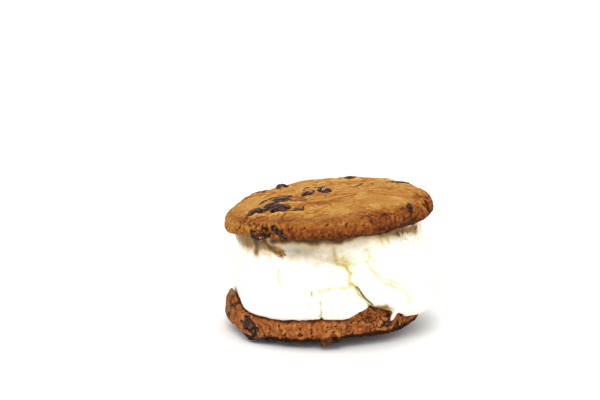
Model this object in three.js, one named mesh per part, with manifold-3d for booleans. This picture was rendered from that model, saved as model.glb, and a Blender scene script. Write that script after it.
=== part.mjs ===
// An ice cream sandwich: two thick chocolate chunk cookies pressed on a slab of scooped
// vanilla ice cream. Millimetres, +Z up, +X to the right and +Y to the back. The origin is
// on the table, under the middle of the whole. The sandwich leans a little to the left.

import * as THREE from 'three';
import { mergeVertices } from 'three/addons/utils/BufferGeometryUtils.js';
import { ImprovedNoise } from 'three/addons/math/ImprovedNoise.js';
import Module from 'manifold-3d';

const wasm = await Module();
wasm.setup();
const { degToRad, radToDeg, euclideanModulo, smoothstep } = THREE.MathUtils;

// ---------------------------------------------------------------- driving dimensions

const GAP = 0.3; // air between two pieces that touch

// A cookie in its own frame lies on its flat side, with the dome up.
const UPPER = {
  radius: 47.9,
  rim: 9.0, // thickness at the edge
  widest: 2.6, // height of the edge's widest line
  shoulder: 5.5, // width of the round at the dome's edge
  hem: 1.6, // width of the round at the flat side's edge
  dome: 3.9, // rise of the dome above the edge
  apex: [11, 7], // the dome's highest point
  relief: 0.7, // height of the bumps on the dome
  droop: 2.2, // how far the end at -X hangs
  droopFrom: 14, // distance from the middle where that starts
  detail: 11, // subdivision of the surface
  seed: 3,
  // Where the edge baked crooked, at turn degrees round the cookie: out is how far the outline
  // stands out there, flat and dome are how far each side does, and tuck is how far the flat
  // side's edge is pulled in.
  warps: [
    { turn: 25, spread: 9, soft: 21, out: -2.3 },
    { turn: -14, spread: 30, soft: 22, out: -1.0 },
    { turn: 14, spread: 10, soft: 20, dome: 0.8 },
    { turn: 64, spread: 6, soft: 18, out: -2.6, dome: -0.9 },
    { turn: 122, spread: 4, soft: 16, out: -2.0, dome: -0.5 },
    { turn: 165, spread: 9, soft: 18, out: -1.9 },
    { turn: -134, spread: 12, soft: 18, flat: -1.2 },
  ],
};
const LOWER = {
  radius: 45.4,
  rim: 10.8,
  widest: 5.2,
  shoulder: 4.2,
  hem: 2.4,
  dome: 4.2,
  apex: [-12, 0],
  relief: 0.6,
  droop: 1.25,
  droopFrom: 14,
  detail: 10,
  seed: 11,
  warps: [
    { turn: -115, spread: 2, soft: 17, flat: 6.6 },
    { turn: -148, spread: 12, soft: 18, dome: 1.9 },
    { turn: -13, spread: 2, soft: 23, flat: 7.4, tuck: 2.8, from: 37, full: 44.5, sharp: 2 },
    { turn: -8, spread: 12, soft: 22, dome: -2.4 },
    { turn: 118, spread: 6, soft: 20, flat: 3.2 },
  ],
};

// What a warp does where it doesn't say. from and full are the distances from the middle
// where it starts and is full; a higher sharp keeps it nearer to the flat side.
const WARP = { flat: 0, dome: 0, out: 0, tuck: 0, from: 30, full: 42, sharp: 1 };

// Where each cookie's flat side is, and how far it leans down to the left and to the front.
const UPPER_SEAT = { x: -1.8, y: 0, z: 51.0, lean: 3.4, pitch: 1.2 };
const LOWER_SEAT = { x: -4.8, y: 0, z: 14.6, lean: 3.0, pitch: 0 };

// Chocolate chunks, long x wide x tall. One on a dome is placed by x and y, and one in an
// edge by turn (degrees round the cookie, 0 at its +X) and up (height above the flat side).
// proud is how far it stands out, and spin turns it in the surface.
const UPPER_CHUNKS = [
  { name: 'chunk_long', x: -30.2, y: -21.4, size: [13, 7, 6], proud: 1.4, spin: 34 },
  { name: 'chunk_broad', x: -20.6, y: -24.6, size: [9.5, 10.5, 7], proud: 1.7, spin: 24 },
  { name: 'chunk_flat', x: -22.2, y: -12.2, size: [12, 7.5, 6], proud: 1.0, spin: 12 },
  { name: 'chunk_small', x: -13.2, y: -30.4, size: [6, 4.2, 5], proud: 0.8, spin: -8 },
  { name: 'chunk_left_ring', x: -8.6, y: -3, size: [5.6, 11.5, 6], proud: 1.3, spin: -16 },
  { name: 'chunk_right_ring', x: -1.2, y: -2.6, size: [5, 12, 6], proud: 1.3, spin: 20 },
  { name: 'chunk_edge_left', turn: -132.5, up: 2.2, size: [5.6, 4.8, 5], proud: 1.0, spin: 10 },
  { name: 'chunk_edge_flake', turn: -116.5, up: 3.5, size: [10, 3.3, 6], proud: 1.0, spin: -34 },
  { name: 'chunk_crest', x: 10.2, y: 23, size: [7, 7, 6], proud: 0.9, spin: 0 },
  { name: 'chunk_back', x: -21, y: 20.5, size: [6, 7, 6], proud: 1.6, spin: 25 },
  { name: 'chunk_edge_back', turn: 74, up: 5, size: [9, 5, 6], proud: 1.0, spin: 14 },
];
const LOWER_CHUNKS = [
  { name: 'chunk_base_left', turn: -44.5, up: 5.2, size: [15.5, 6.6, 7], proud: 1.3, spin: -40 },
  { name: 'chunk_base_right', turn: -127, up: 6.6, size: [8.5, 3.8, 6], proud: 0.7, spin: -20 },
  { name: 'chunk_base_back', turn: 100, up: 5.6, size: [10, 5.5, 6], proud: 1.0, spin: 12 },
  { name: 'chunk_base_side', turn: 28, up: 5.4, size: [7.5, 5.5, 6], proud: 0.8, spin: -20 },
];

// Small chips and crumbly knobs that stand out of a cookie's own crust.
const UPPER_KNOBS = [
  { x: -31.5, y: 16, size: [6, 5, 5], proud: 1.0, spin: 20 },
  { x: 13.5, y: 11, size: [7, 9, 5], proud: 0.7, spin: 30 },
  { x: 35, y: -28.4, size: [4, 4, 5], proud: 0.6, spin: 0 },
  { turn: -10, up: 5.4, size: [5, 6, 5], proud: 0.4, spin: 0 },
];
const LOWER_KNOBS = [
  { turn: -41, up: 8.0, size: [12, 7, 8], proud: 1.5, spin: -38 },
  { turn: -94, up: 9.6, size: [11, 4.5, 6], proud: 0.8, spin: 6 },
  { turn: 60, up: 7.4, size: [8, 5, 6], proud: 0.9, spin: 0 },
];

// Crags broken out of the crust, named as the chunks are; proud is below the surface here.
const UPPER_CRAGS = [
  { turn: -124, up: 2.6, size: [6.5, 7, 5], proud: 0.6, spin: 16 },
  { turn: -18, up: 5.2, size: [2.6, 6, 4], proud: 0.8, spin: -12 },
];
const LOWER_CRAGS = [
  { turn: -119, up: 2.2, size: [6, 6, 5], proud: 0.6, spin: -24 },
  { turn: -131, up: 3.6, size: [6, 4, 5], proud: 0.5, spin: 20 },
  { turn: -96, up: 8.4, size: [4, 3, 4], proud: 0.4, spin: 0 },
];

const SLAB = {
  x: 1, // the slab's axis, a little to the right of both cookies
  radius: 46.2,
  bottom: 5.5, // inside the lower cookie
  top: 54.5, // inside the upper cookie, and leaning with it
  roundFrom: 15.5, // the lower edge rounds in below this height
  round: 10.1, // and would close at this depth below it
  around: 108,
  up: 15,
};

// Swellings and hollows of the slab's side. turn is in degrees, 0 to the right and -90 to
// the front; out is how far the form stands out; spread and tall are half its flat part,
// soft and fade are the run-outs beyond it, and slope is its rise for each degree of turn.
const FORMS = [
  { name: 'right belly', turn: 0, spread: 34, soft: 26, z: 20, tall: 5, fade: 12, out: 3.4 },
  { name: 'right shoulder', turn: 0, spread: 34, soft: 30, z: 50, tall: 5.5, fade: 17, out: -7 },
  { name: 'right neck', turn: -56, spread: 8, soft: 16, z: 56, tall: 7, fade: 8, out: -3.4 },
  { name: 'left waist', turn: 180, spread: 14, soft: 24, z: 38, tall: 1, fade: 9, out: -2.4 },
  { name: 'left tuck', turn: 180, spread: 24, soft: 18, z: 8, tall: 3, fade: 9, out: -3.4 },
  {
    name: 'front recess', turn: -97, spread: 20, soft: 9, z: 49, tall: 6, fade: 3.5, out: -5.5,
    slope: -0.06,
  },
  { name: 'front flap', turn: -83, spread: 12, soft: 3.5, z: 22, tall: 6, fade: 2, out: 1.8 },
  { name: 'left lobe', turn: -128, spread: 24, soft: 16, z: 25, tall: 9, fade: 8, out: 1.7 },
  { name: 'left hem', turn: -126, spread: 16, soft: 16, z: 12, tall: 5, fade: 7, out: 2.2 },
  { name: 'front hem', turn: -100, spread: 10, soft: 10, z: 12, tall: 3, fade: 5, out: -1.6 },
  { name: 'scooped lobe', turn: -42, spread: 22, soft: 9, z: 36, tall: 7, fade: 8, out: 1.7 },
  {
    name: 'back recess', turn: 75, spread: 24, soft: 9, z: 49, tall: 4, fade: 4, out: -4.5,
    slope: 0.05,
  },
  { name: 'back lobe', turn: 118, spread: 20, soft: 8, z: 30, tall: 8, fade: 4, out: 2.2 },
  { name: 'back flap', turn: 62, spread: 13, soft: 4, z: 24, tall: 6, fade: 2.5, out: 1.8 },
];

// Cracks cut into the slab's side that faces turn. Each point is its distance to the right,
// as seen from that side, and its height.
const FRONT = -90;
const BACK = 90;
const CRACKS = [
  { turn: FRONT, wide: 1.0, points: [[0, 50], [0.4, 41.5], [6.2, 38.8], [7.5, 35], [8.2, 28.6]] },
  { turn: FRONT, wide: 1.1, points: [[9.4, 31], [12.2, 26.2], [19, 20.5]] },
  { turn: FRONT, wide: 0.9, points: [[-4.4, 21.5], [-3.8, 17], [-3.4, 11]] },
  { turn: BACK, wide: 1.1, points: [[-12, 48], [-6, 39], [-8, 31], [2, 26]] },
  { turn: BACK, wide: 1.0, points: [[14, 33], [20, 27], [24, 18]] },
];
const CRACK_INNER = 43; // distance of a crack's floor from the slab's middle

// The slab's lower edge stops over the lower cookie's warp; points as in a crack.
const UNDERCUT = {
  turn: -68,
  inner: 38.5,
  points: [
    [-14.5, 0], [-14.5, 12.6], [-8, 17.6], [-2, 19.9], [4.4, 17.8], [12, 15.6], [17.5, 12.6], [17.5, 0],
  ],
};

// A strand of ice cream hangs beside it; lean is how far its end is pulled to the left.
const DRIP = { at: [26.8, -36.6, 14.9], half: [1.2, 2.6, 4.6], lean: 26 };

// ---------------------------------------------------------------- shared shapes

const noise = new ImprovedNoise();

/** Smooth noise from about -1 to 1, whose lumps are size mm across. */
function lumps(x, y, z, size) {
  return noise.noise(x / size, y / size, z / size);
}

/** The sum of several sizes of lumps. */
function waves(sizes, x, y, z) {
  return sizes.reduce((sum, wave) => sum + wave.out * lumps(x, y, z, wave.size), 0);
}

/** Keep only the positions, with shared vertices merged. */
function bare(geometry) {
  geometry.deleteAttribute('normal');
  geometry.deleteAttribute('uv');
  return mergeVertices(geometry, 1e-4);
}

/** Move every vertex of a geometry by a function of its position. */
function reshape(geometry, move) {
  const position = geometry.attributes.position;
  const point = new THREE.Vector3();
  for (let i = 0; i < position.count; i += 1) {
    point.fromBufferAttribute(position, i);
    move(point);
    position.setXYZ(i, point.x, point.y, point.z);
  }
  return geometry;
}

function toSolid(geometry) {
  const mesh = new wasm.Mesh({
    numProp: 3,
    vertProperties: new Float32Array(geometry.attributes.position.array),
    triVerts: new Uint32Array(geometry.index.array),
  });
  return new wasm.Manifold(mesh);
}

function toGeometry(solid) {
  const mesh = solid.getMesh();
  const geometry = new THREE.BufferGeometry();
  geometry.setAttribute('position', new THREE.BufferAttribute(mesh.vertProperties, 3));
  geometry.setIndex(new THREE.BufferAttribute(mesh.triVerts, 1));
  return geometry;
}

/** The largest body of a solid, without the scraps that a cut leaves loose. */
function largest(solid) {
  return solid.decompose().reduce((most, body) => (body.volume() > most.volume() ? body : most));
}

// How blunt a lump's corners are (1 would be a plain ball), and how uneven its sides.
const LUMP = { blunt: 0.75, uneven: 0.16, size: 0.8 };

/** An uneven, blunt-cornered lump with half sizes half; seed makes each one different. */
function lumpGeometry(half, seed) {
  const blunt = (value) => Math.sign(value) * Math.abs(value) ** LUMP.blunt;
  return reshape(bare(new THREE.DodecahedronGeometry(1)), (p) => {
    const swell = 1 + LUMP.uneven * lumps(p.x + seed, p.y, p.z - seed, LUMP.size);
    p.set(blunt(p.x) * half[0], blunt(p.y) * half[1], blunt(p.z) * half[2]);
    p.multiplyScalar(swell);
  });
}

// ---------------------------------------------------------------- cookies

const DOME_SHARE = 0.46; // share of a cookie's vertices on its dome
const FLAT_SHARE = 0.2; // and on its flat side
const DOME_FULLNESS = 2.6; // 2 would be a parabola; more is flatter on top
const EDGE_ROUND = { out: 0.8, up: 0.9 }; // 1 and 1 would be a plain ellipse; less is fuller

// How the outline wanders from a circle: waves that stand out, over this much of its length.
const WANDER = [{ out: 0.9, size: 13 }, { out: 0.5, size: 5 }];
const WANDER_REACH = 20;

// The bumps of a dome, as shares of its relief, and of the slab's side.
const DOME_BUMPS = [{ out: 1, size: 17 }, { out: 0.45, size: 7 }];
const SLAB_BUMPS = [{ out: 1.1, size: 15 }, { out: 0.6, size: 6.5 }];

/** Height of the dome's surface above the flat side at x, y, without the edge's round. */
function domeTop(cookie, x, y) {
  const edge = cookie.radius - cookie.shoulder;
  const shift = 1 - Math.min(Math.hypot(x, y) / edge, 1) ** 2;
  const reach = Math.hypot(x - cookie.apex[0] * shift, y - cookie.apex[1] * shift) / edge;
  const rise = cookie.dome * (1 - Math.min(reach, 1) ** DOME_FULLNESS);
  return cookie.rim + rise + cookie.relief * waves(DOME_BUMPS, x, y, cookie.seed);
}

/** How far a cookie hangs at x, which grows towards the end at -X. */
function drooping(cookie, x) {
  return cookie.droop * smoothstep(-x, cookie.droopFrom, cookie.radius);
}

/** How much of a form is felt at away from its middle: 1 on its flat part, 0 beyond it. */
function felt(away, spread, soft) {
  return 1 - smoothstep(Math.abs(away), spread, spread + soft);
}

/** The turn from one direction to another, from -180 to 180 degrees. */
function turnFrom(start, end) {
  return euclideanModulo(end - start + 180, 360) - 180;
}

/** A cookie's warps, each with how much of it is felt at a turn in degrees. */
function warpsAt(cookie, turn) {
  return cookie.warps.map((named) => {
    const warp = { ...WARP, ...named };
    return { ...warp, here: felt(turnFrom(warp.turn, turn), warp.spread, warp.soft) };
  });
}

/** Distance of a cookie's edge from its middle at a turn in degrees. */
function reach(cookie, turn) {
  return warpsAt(cookie, turn).reduce((sum, warp) => sum + warp.here * warp.out, cookie.radius);
}

/** How far the warps pull the surface in and up; upper is 1 on the dome, 0 on the flat side. */
function warping(cookie, turn, radius, upper) {
  return warpsAt(cookie, turn).reduce(([pulled, up], warp) => {
    const near = smoothstep(radius, warp.from, warp.full) * warp.here;
    const lower = (1 - upper) ** warp.sharp;
    return [
      pulled + near * warp.tuck * lower,
      up + near * (warp.dome * upper - warp.flat * lower),
    ];
  }, [0, 0]);
}

/** Radius and height of a cookie's section, from the dome's middle at way 0 to way 1. */
function section(cookie, way) {
  const shoulderRadius = cookie.radius - cookie.shoulder;
  const hemRadius = cookie.radius - cookie.hem;
  if (way <= DOME_SHARE) {
    return [shoulderRadius * Math.sqrt(way / DOME_SHARE), cookie.rim];
  }
  if (way >= 1 - FLAT_SHARE) {
    return [hemRadius * Math.sqrt((1 - way) / FLAT_SHARE), 0];
  }
  const bend = (Math.PI * (way - DOME_SHARE)) / (1 - DOME_SHARE - FLAT_SHARE);
  const out = Math.sin(bend) ** EDGE_ROUND.out;
  const up = Math.abs(Math.cos(bend)) ** EDGE_ROUND.up;
  if (bend < Math.PI / 2) {
    const height = cookie.widest + (cookie.rim - cookie.widest) * up;
    return [shoulderRadius + cookie.shoulder * out, height];
  }
  return [hemRadius + cookie.hem * out, cookie.widest * (1 - up)];
}

/** A cookie's surface; grow makes it that much larger all over, as room in its neighbour. */
function cookieGeometry(cookie, grow = 0) {
  return reshape(bare(new THREE.IcosahedronGeometry(1, cookie.detail)), (p) => {
    const turn = Math.atan2(p.y, p.x);
    const [radius, height] = section(cookie, (1 - p.z) / 2);
    const c = Math.cos(turn);
    const s = Math.sin(turn);
    const wander = waves(WANDER, c * WANDER_REACH, s * WANDER_REACH, cookie.seed);
    const upper = smoothstep(height, 0, cookie.rim);
    const full = (radius * (reach(cookie, radToDeg(turn)) + wander + grow)) / cookie.radius;
    const [pulled, up] = warping(cookie, radToDeg(turn), full, upper);
    const r = full - pulled;
    const dome = upper * (domeTop(cookie, r * c, r * s) - cookie.rim);
    const bent = up - drooping(cookie, r * c);
    p.set(r * c, r * s, height + dome + bent + grow * (2 * upper - 1));
  });
}

/** Place a chunk, knob or crag on a cookie's dome or in its edge. */
function placeOn(cookie, piece, geometry) {
  const tall = piece.size[2];
  if (piece.turn === undefined) {
    const top = domeTop(cookie, piece.x, piece.y) - drooping(cookie, piece.x);
    return geometry
      .rotateZ(degToRad(piece.spin))
      .translate(piece.x, piece.y, top + piece.proud - tall / 2);
  }
  // Stand it up with its tall side facing out of the edge, then turn it round the cookie.
  const hang = drooping(cookie, cookie.radius * Math.cos(degToRad(piece.turn)));
  return geometry
    .rotateZ(degToRad(piece.spin))
    .rotateX(Math.PI / 2)
    .translate(0, -(reach(cookie, piece.turn) + piece.proud - tall / 2), piece.up - hang)
    .rotateZ(degToRad(piece.turn + 90));
}

function pieceSolid(cookie, piece, grow = 0) {
  const half = piece.size.map((size) => size / 2 + grow);
  return toSolid(placeOn(cookie, piece, lumpGeometry(half, piece.size[0])));
}

/** A cookie with its knobs on, its crags out and a pocket for each chunk. */
function cookieSolid(cookie, chunks, knobs, crags) {
  let solid = toSolid(cookieGeometry(cookie));
  knobs.forEach((knob) => {
    solid = solid.add(pieceSolid(cookie, knob));
  });
  crags.forEach((crag) => {
    solid = solid.subtract(pieceSolid(cookie, { ...crag, proud: crag.size[2] / 2 - crag.proud }));
  });
  chunks.forEach((chunk) => {
    solid = solid.subtract(pieceSolid(cookie, chunk, GAP));
  });
  return largest(solid);
}

/** The room that a cookie with its chunks and knobs takes out of the ice cream. */
function cookieRoom(cookie, pieces) {
  return pieces.reduce(
    (room, piece) => room.add(pieceSolid(cookie, piece, GAP)),
    toSolid(cookieGeometry(cookie, GAP)),
  );
}

/** The frame of a cookie in the sandwich: leaning, and turned over if it is the lower one. */
function seatMatrix(seat, turnedOver) {
  const flip = turnedOver ? Math.PI : 0;
  const turn = new THREE.Euler(degToRad(seat.pitch), flip - degToRad(seat.lean), 0);
  return new THREE.Matrix4().makeRotationFromEuler(turn).setPosition(seat.x, seat.y, seat.z);
}

// ---------------------------------------------------------------- ice cream

/** How much of a form is felt at a turn and height: 1 on its flat part, 0 beyond it. */
function share(form, turn, z) {
  const away = turnFrom(form.turn, turn);
  const rise = z - form.z - (form.slope ?? 0) * away;
  const across = Math.max(0, Math.abs(away) - form.spread) / form.soft;
  const along = Math.max(0, Math.abs(rise) - form.tall) / form.fade;
  return 1 - smoothstep(Math.hypot(across, along), 0, 1);
}

/** Distance of the slab's side from its axis. */
function slabRadius(turn, z) {
  const forms = FORMS.reduce((sum, form) => sum + form.out * share(form, turn, z), 0);
  const under = Math.max(0, SLAB.roundFrom - z) / SLAB.round;
  const x = SLAB.radius * Math.cos(degToRad(turn));
  const y = SLAB.radius * Math.sin(degToRad(turn));
  return (SLAB.radius + forms) * Math.sqrt(1 - under ** 2) + waves(SLAB_BUMPS, x, y, z);
}

function slabSolid() {
  const height = SLAB.top - SLAB.bottom;
  const drum = new THREE.CylinderGeometry(1, 1, height, SLAB.around, SLAB.up);
  drum.rotateX(Math.PI / 2);
  return toSolid(reshape(bare(drum), (p) => {
    const z = p.z + height / 2 + SLAB.bottom;
    const turn = Math.atan2(p.y, p.x);
    const radius = Math.hypot(p.x, p.y) * slabRadius(radToDeg(turn), z);
    const x = SLAB.x + radius * Math.cos(turn);
    const lean = (x * Math.tan(degToRad(UPPER_SEAT.lean)) * (z - SLAB.bottom)) / height;
    p.set(x, radius * Math.sin(turn), z + lean);
  }));
}

/** A prism with this outline that cuts into the slab from the side facing turn. */
function cutter(outline, turn, inner) {
  const shape = new THREE.Shape(outline.map(([across, z]) => new THREE.Vector2(across, z)));
  const prism = new THREE.ExtrudeGeometry(shape, { depth: SLAB.radius, bevelEnabled: false });
  prism.translate(0, 0, inner).rotateX(Math.PI / 2).rotateZ(degToRad(turn - FRONT));
  return toSolid(bare(prism));
}

/** A thin blade along a crack's points, pointed at both ends. */
function crackBlade(crack) {
  const middle = crack.points.slice(1, -1);
  const first = crack.points[0];
  const last = crack.points[crack.points.length - 1];
  const left = middle.map(([across, z]) => [across - crack.wide / 2, z]);
  const right = middle.map(([across, z]) => [across + crack.wide / 2, z]).reverse();
  return cutter([first, ...left, last, ...right], crack.turn, CRACK_INNER);
}

function dripSolid() {
  const drip = lumpGeometry(DRIP.half, DRIP.lean);
  return toSolid(drip.rotateY(degToRad(DRIP.lean)).translate(...DRIP.at));
}

function iceCreamSolid(upperRoom, lowerRoom) {
  let solid = slabSolid();
  CRACKS.forEach((crack) => {
    solid = solid.subtract(crackBlade(crack));
  });
  solid = solid.subtract(cutter(UNDERCUT.points, UNDERCUT.turn, UNDERCUT.inner));
  solid = solid.add(dripSolid());
  return largest(solid.subtract(upperRoom).subtract(lowerRoom));
}

// ---------------------------------------------------------------- the whole

const CRUST = { color: 0xc4853f, roughness: 0.85, metalness: 0 };
const CRUST_LOW = { color: 0xa1643a, roughness: 0.85, metalness: 0 };
const CREAM = { color: 0xfdfbf4, roughness: 0.45, metalness: 0 };
const CHOCOLATE = { color: 0x49332a, roughness: 0.5, metalness: 0 };

function makeMesh(name, geometry, look) {
  const mesh = new THREE.Mesh(geometry, new THREE.MeshStandardMaterial(look));
  mesh.name = name;
  return mesh;
}

/** A cookie and its chunks, in a group that seats them in the sandwich. */
function cookieGroup(name, cookie, solid, chunks, matrix, look) {
  const group = new THREE.Group();
  group.applyMatrix4(matrix);
  group.add(makeMesh(name, toGeometry(solid), look));
  chunks.forEach((chunk) => {
    group.add(makeMesh(chunk.name, toGeometry(pieceSolid(cookie, chunk)), CHOCOLATE));
  });
  return group;
}

const upperMatrix = seatMatrix(UPPER_SEAT, false);
const lowerMatrix = seatMatrix(LOWER_SEAT, true);

// The table, in the lower cookie's frame, cuts the flat spot that the sandwich rests on.
const TABLE = { size: 140, deep: 20 };
const table = new THREE.BoxGeometry(TABLE.size, TABLE.size, TABLE.deep)
  .translate(0, 0, -TABLE.deep / 2)
  .applyMatrix4(lowerMatrix.clone().invert());

const upperSolid = cookieSolid(UPPER, UPPER_CHUNKS, UPPER_KNOBS, UPPER_CRAGS);
const lowerSolid = largest(
  cookieSolid(LOWER, LOWER_CHUNKS, LOWER_KNOBS, LOWER_CRAGS).subtract(toSolid(bare(table))),
);
const creamSolid = iceCreamSolid(
  cookieRoom(UPPER, [...UPPER_CHUNKS, ...UPPER_KNOBS]).transform(upperMatrix.elements),
  cookieRoom(LOWER, [...LOWER_CHUNKS, ...LOWER_KNOBS]).transform(lowerMatrix.elements),
);

const sandwich = new THREE.Group();
sandwich.add(
  cookieGroup('top_cookie', UPPER, upperSolid, UPPER_CHUNKS, upperMatrix, CRUST),
  makeMesh('ice_cream', toGeometry(creamSolid), CREAM),
  cookieGroup('bottom_cookie', LOWER, lowerSolid, LOWER_CHUNKS, lowerMatrix, CRUST_LOW),
);

// Put the origin on the table, under the middle of the whole.
sandwich.updateMatrixWorld(true);
const box = new THREE.Box3().setFromObject(sandwich, true);
sandwich.position.set(-(box.min.x + box.max.x) / 2, -(box.min.y + box.max.y) / 2, -box.min.z);
sandwich.updateMatrixWorld(true);

export default sandwich;
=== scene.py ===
"""An ice cream sandwich: a lower cookie, a slab of scooped vanilla ice cream, an upper
cookie, and the chocolate chunks baked into both. Metres, +Z up, the shown side at -Y."""

import bmesh
import bpy
import numpy as np
from mathutils import Euler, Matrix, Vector
from mathutils.bvhtree import BVHTree
from mathutils.kdtree import KDTree


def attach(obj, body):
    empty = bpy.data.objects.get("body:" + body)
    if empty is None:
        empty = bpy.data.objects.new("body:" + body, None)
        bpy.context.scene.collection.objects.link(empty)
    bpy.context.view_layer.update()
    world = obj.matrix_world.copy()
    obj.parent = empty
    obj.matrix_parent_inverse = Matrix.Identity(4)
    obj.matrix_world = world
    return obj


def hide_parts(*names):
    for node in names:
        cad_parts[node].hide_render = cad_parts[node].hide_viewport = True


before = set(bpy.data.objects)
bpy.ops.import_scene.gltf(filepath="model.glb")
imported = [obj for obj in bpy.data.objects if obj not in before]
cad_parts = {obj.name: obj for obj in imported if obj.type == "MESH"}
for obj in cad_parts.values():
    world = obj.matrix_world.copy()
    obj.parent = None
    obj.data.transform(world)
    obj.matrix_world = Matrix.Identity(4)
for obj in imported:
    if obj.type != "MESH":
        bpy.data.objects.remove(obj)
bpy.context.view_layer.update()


# ---------------------------------------------------------------------------------------
# The chocolate chunks. Dark chocolate, chopped by hand and folded into the dough before
# baking: flat broken faces, softened corners, a dull bloom painted lighter on the ridges
# with painted shade in the hollows, a few painted highlights, and some dough baked on them.

MM = 0.001
CHUNK_VOXEL = 0.3  # mm between the points of a chunk's mesh
CHUNK_RUBS = 3  # rounds of smoothing that soften its corners
CHUNK_GROWTH = 0.32  # mm, which closes the gap between the solids of chunk and dough
CHUNK_LUMPS = 0.42  # mm that its broken faces rise and fall
CHUNK_SPLITS = 0.55  # mm depth of the splits between them
CHUNK_SKIN = 0.25  # mm of dough baked on it
CHUNK_ROUNDS = 12  # rounds of averaging that its ridges are judged against
UPPER_CHUNKS = [
    "chunk_long", "chunk_broad", "chunk_flat", "chunk_small", "chunk_left_ring",
    "chunk_right_ring", "chunk_edge_left", "chunk_edge_flake", "chunk_crest", "chunk_back",
    "chunk_edge_back",
]
LOWER_CHUNKS = ["chunk_base_left", "chunk_base_right", "chunk_base_back", "chunk_base_side"]

# Places as (x, y, z, radius) in mm: where dough is baked on the chunks, where they have no
# bloom, and where painted highlights lie on them.
CHUNK_DOUGH = [
    (-11.8, -2.2, 62.8, 2.3), (-19.2, -20.0, 60.4, 1.5), (-28.6, -12.0, 58.6, 1.6),
    (-21.0, -41.5, 51.0, 1.5), (-31.0, -30.5, 11.0, 1.8), (-9.0, -27.6, 60.0, 1.0),
    (-23.9, 17.0, 59.4, 2.6), (-38.5, -31.5, 3.4, 2.8), (18.4, -36.8, 11.0, 2.4),
    (-31.0, -34.5, 5.5, 2.8), (-39.8, -27.2, 12.0, 3.1),
]
CHUNK_DEEP = [(-33.7, -34.5, 49.5, 5.0)]
CHUNK_HIGHLIGHTS = [
    (-4.6, -3.4, 64.2, 1.6), (-25.8, -20.5, 60.6, 1.3), (-21.6, -24.5, 60.8, 1.1),
    (-31.5, -20.0, 58.4, 1.4), (-23.5, -41.5, 53.0, 1.1),
]


def fine_copy(node, name, voxel, rubs):
    """A new piece with a node's form, on an even fine mesh with its facets rubbed smooth."""
    piece = bpy.data.objects.new(name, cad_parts[node].data.copy())
    bpy.context.scene.collection.objects.link(piece)
    even = piece.modifiers.new("even", "REMESH")
    even.mode = "VOXEL"
    even.voxel_size = voxel * MM
    rub = piece.modifiers.new("rub", "SMOOTH")
    rub.factor = 0.5
    rub.iterations = rubs
    graph = bpy.context.evaluated_depsgraph_get()
    mesh = bpy.data.meshes.new_from_object(piece.evaluated_get(graph))
    piece.modifiers.clear()
    piece.data = mesh
    mesh.materials.clear()
    mesh.shade_smooth()
    return piece


def points_of(piece):
    """The piece's points in millimetres, one row each."""
    flat = np.empty(len(piece.data.vertices) * 3, np.float32)
    piece.data.vertices.foreach_get("co", flat)
    return flat.reshape(-1, 3).astype(float) / MM


def normals_of(piece):
    flat = np.empty(len(piece.data.vertices) * 3, np.float32)
    piece.data.vertex_normals.foreach_get("vector", flat)
    return flat.reshape(-1, 3).astype(float)


def set_points(piece, points):
    piece.data.vertices.foreach_set("co", (points * MM).astype(np.float32).ravel())
    piece.data.update()


def mean_round(piece, rounds):
    """The mean place of each point's neighbours, taken rounds times over."""
    ends = np.empty(len(piece.data.edges) * 2, np.int32)
    piece.data.edges.foreach_get("vertices", ends)
    first, last = ends.reshape(-1, 2).T
    count = np.bincount(ends)
    mean = points_of(piece)
    for _ in range(rounds):
        for axis in range(3):
            total = np.bincount(first, mean[last, axis], len(mean))
            total += np.bincount(last, mean[first, axis], len(mean))
            mean[:, axis] = total / count
    return mean


def hollow_of(piece, rounds):
    """How far each point lies below the surface round it, in mm; ridges are below zero."""
    return ((mean_round(piece, rounds) - points_of(piece)) * normals_of(piece)).sum(axis=1)


def move_out(piece, amount):
    """Move each point along its normal by amount, in millimetres."""
    set_points(piece, points_of(piece) + normals_of(piece) * amount[:, None])


def carve(piece, relief, rounds):
    """Move each point out by relief mm, and return how much hollower that made it, in mm."""
    before = hollow_of(piece, rounds)
    move_out(piece, relief)
    return hollow_of(piece, rounds) - before


def paint(piece, name, values):
    """Keep a value from 0 to 1 for each point, for the material to read."""
    layer = piece.data.attributes.new(name, "FLOAT", "POINT")
    layer.data.foreach_set("value", np.clip(values, 0, 1).astype(np.float32))


def smooth_step(value, low, high):
    share = np.clip((value - low) / (high - low), 0, 1)
    return share * share * (3 - 2 * share)


NOISE_TABLE = 256
NOISE_SHIFT = 19.7  # moves the noise's grid off the part's middle


def lumps(points, size, seed):
    """Smooth noise from about -1 to 1 at each point; its lumps are size mm across."""
    draw = np.random.default_rng(seed)
    order = draw.permutation(NOISE_TABLE)
    slopes = draw.normal(size=(NOISE_TABLE, 3))
    slopes /= np.linalg.norm(slopes, axis=1, keepdims=True)
    last = NOISE_TABLE - 1
    place = points / size + NOISE_SHIFT
    cell = np.floor(place).astype(int)
    part = place - cell
    fade = part ** 3 * (part * (part * 6 - 15) + 10)
    total = np.zeros(len(points))
    for corner in np.ndindex(2, 2, 2):
        step = np.array(corner)
        x, y, z = ((cell + step) & last).T
        slope = slopes[order[(order[(order[x] + y) & last] + z) & last]]
        weight = np.prod(np.where(step == 1, fade, 1 - fade), axis=1)
        total += weight * np.einsum("ij,ij->i", slope, part - step)
    return total * 1.5


def creases(points, size, seed):
    """Ridged noise: 1 along thin branching lines and falling to 0 away from them."""
    thinness = 3.2
    return np.clip(1 - np.abs(lumps(points, size, seed)) * thinness, 0, 1) ** 2


def in_places(points, places, seed, wander=0.8):
    """1 in each place (x, y, z, radius in mm) and 0 outside; its edge strays by wander mm."""
    bent = points + wander * np.stack([lumps(points, 1.7, seed + k) for k in range(3)], axis=1)
    total = np.zeros(len(points))
    for x, y, z, radius in places:
        away = np.linalg.norm(bent - np.array([x, y, z]), axis=1)
        total = np.maximum(total, 1 - smooth_step(away, radius * 0.7, radius * 1.2))
    return total


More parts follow.
